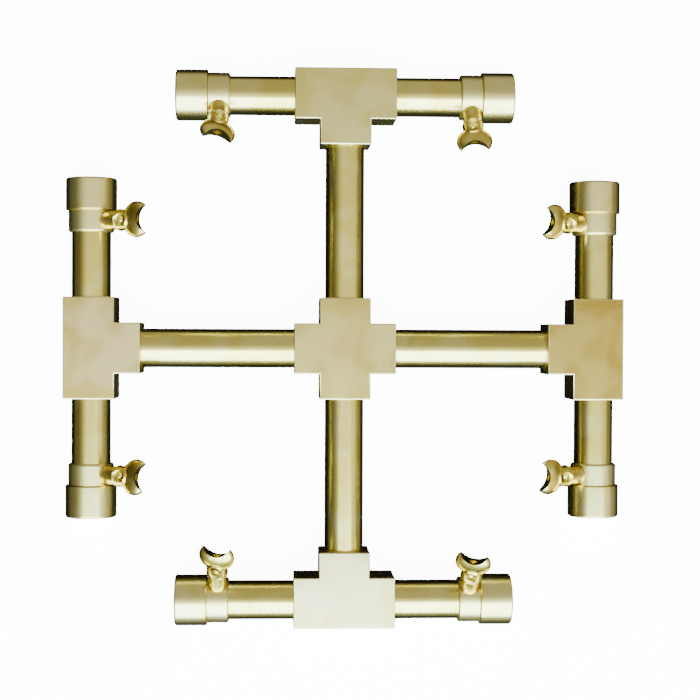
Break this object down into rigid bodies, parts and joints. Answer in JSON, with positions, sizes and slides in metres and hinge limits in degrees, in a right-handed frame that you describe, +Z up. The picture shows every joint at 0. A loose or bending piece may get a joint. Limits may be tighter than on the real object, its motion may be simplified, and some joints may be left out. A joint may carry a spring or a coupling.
{
  "type": "burner assembly",
  "caption": "Cross-shaped brass gas burner: square cross and tees, round pipes, capped branch ends and upturned crescent jets that turn to aim the flame.",
  "frame": {"origin": "bottom centre of the centre cross, on the plane that the square fittings rest on", "axes": "+Z up, the way the jets rise; +Y north, +X east, along the arm pipes"},
  "size_m": [0.3048, 0.3048, 0.0453],
  "materials": {
    "fitting_brass": "satin, very fine grain",
    "pipe_brass": "brushed along its length",
    "collar_brass": "turned, satin",
    "cap_brass": "turned, half polished",
    "jet_brass": "turned and milled, bright",
    "orifice_brass": "turned, bright"
  },
  "bodies": {
    "manifold": {"center_cross": "fitting_brass", "arm_pipe_north": "pipe_brass", "arm_pipe_east": "pipe_brass", "arm_pipe_south": "pipe_brass", "arm_pipe_west": "pipe_brass", "tee_north": "fitting_brass", "tee_east": "fitting_brass", "tee_south": "fitting_brass", "tee_west": "fitting_brass", "branch_pipe_north_west": "pipe_brass", "branch_pipe_north_east": "pipe_brass", "branch_pipe_east_north": "pipe_brass", "branch_pipe_east_south": "pipe_brass", "branch_pipe_south_east": "pipe_brass", "branch_pipe_south_west": "pipe_brass", "branch_pipe_west_south": "pipe_brass", "branch_pipe_west_north": "pipe_brass", "jet_collar_north_west": "collar_brass", "jet_collar_north_east": "collar_brass", "jet_collar_east_north": "collar_brass", "jet_collar_east_south": "collar_brass", "jet_collar_south_east": "collar_brass", "jet_collar_south_west": "collar_brass", "jet_collar_west_south": "collar_brass", "jet_collar_west_north": "collar_brass", "end_cap_north_west": "cap_brass", "end_cap_north_east": "cap_brass", "end_cap_east_north": "cap_brass", "end_cap_east_south": "cap_brass", "end_cap_south_east": "cap_brass", "end_cap_south_west": "cap_brass", "end_cap_west_south": "cap_brass", "end_cap_west_north": "cap_brass"},
    "jet_unit_north_west": {"jet_north_west": "jet_brass", "orifice_north_west": "orifice_brass"},
    "jet_unit_north_east": {"jet_north_east": "jet_brass", "orifice_north_east": "orifice_brass"},
    "jet_unit_east_north": {"jet_east_north": "jet_brass", "orifice_east_north": "orifice_brass"},
    "jet_unit_east_south": {"jet_east_south": "jet_brass", "orifice_east_south": "orifice_brass"},
    "jet_unit_south_east": {"jet_south_east": "jet_brass", "orifice_south_east": "orifice_brass"},
    "jet_unit_south_west": {"jet_south_west": "jet_brass", "orifice_south_west": "orifice_brass"},
    "jet_unit_west_south": {"jet_west_south": "jet_brass", "orifice_west_south": "orifice_brass"},
    "jet_unit_west_north": {"jet_west_north": "jet_brass", "orifice_west_north": "orifice_brass"}
  },
  "joints": [
    {"name": "aim_north_west", "type": "hinge", "parent": "manifold", "child": "jet_unit_north_west", "pos_m": [-0.069, 0.12895, 0.02414], "axis": [0, -0.682, 0.7314], "range_deg": [-45, 45]},
    {"name": "aim_north_east", "type": "hinge", "parent": "manifold", "child": "jet_unit_north_east", "pos_m": [0.069, 0.12747, 0.02252], "axis": [0, -0.788, 0.6157], "range_deg": [-45, 45]},
    {"name": "aim_east_north", "type": "hinge", "parent": "manifold", "child": "jet_unit_east_north", "pos_m": [0.12747, 0.069, 0.02252], "axis": [-0.788, 0, 0.6157], "range_deg": [-45, 45]},
    {"name": "aim_east_south", "type": "hinge", "parent": "manifold", "child": "jet_unit_east_south", "pos_m": [0.12703, -0.069, 0.02193], "axis": [-0.8192, 0, 0.5736], "range_deg": [-45, 45]},
    {"name": "aim_south_east", "type": "hinge", "parent": "manifold", "child": "jet_unit_south_east", "pos_m": [0.069, -0.1286, 0.0238], "axis": [0, 0.7071, 0.7071], "range_deg": [-45, 45]},
    {"name": "aim_south_west", "type": "hinge", "parent": "manifold", "child": "jet_unit_south_west", "pos_m": [-0.069, -0.12732, 0.02233], "axis": [0, 0.7986, 0.6018], "range_deg": [-45, 45]},
    {"name": "aim_west_south", "type": "hinge", "parent": "manifold", "child": "jet_unit_west_south", "pos_m": [-0.12762, -0.069, 0.02271], "axis": [0.7771, 0, 0.6293], "range_deg": [-45, 45]},
    {"name": "aim_west_north", "type": "hinge", "parent": "manifold", "child": "jet_unit_west_north", "pos_m": [-0.12747, 0.069, 0.02252], "axis": [0.788, 0, 0.6157], "range_deg": [-45, 45]}
  ]
}
